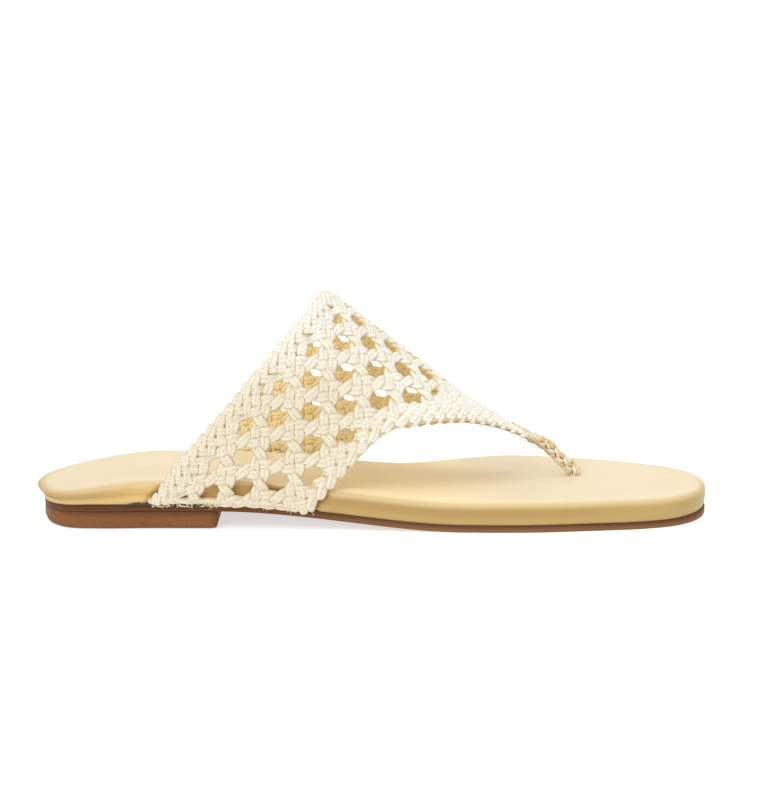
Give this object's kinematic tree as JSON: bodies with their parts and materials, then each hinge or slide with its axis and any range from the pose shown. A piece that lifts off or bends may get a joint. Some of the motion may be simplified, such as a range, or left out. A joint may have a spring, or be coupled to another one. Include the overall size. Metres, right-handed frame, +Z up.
{
  "type": "thong sandal",
  "caption": "Flat right-foot thong sandal with an open-weave upper, a padded leather footbed, a leather outsole and a low heel block.",
  "frame": {"origin": "middle of the box of the whole sandal, on the floor under the sole", "axes": "+X towards the toe, +Y towards the inner side of the foot, +Z up"},
  "size_m": [0.2562, 0.088, 0.0849],
  "materials": {
    "heel_leather": "burnished stacked leather, satin",
    "sole_leather": "dark stained leather edge, satin",
    "footbed_leather": "smooth pale straw leather, soft sheen",
    "woven_cord": "ivory twisted cord, matt"
  },
  "bodies": {
    "root": {"heel_block": "heel_leather", "outsole": "sole_leather", "footbed": "footbed_leather", "upper": "woven_cord"}
  },
  "joints": []
}
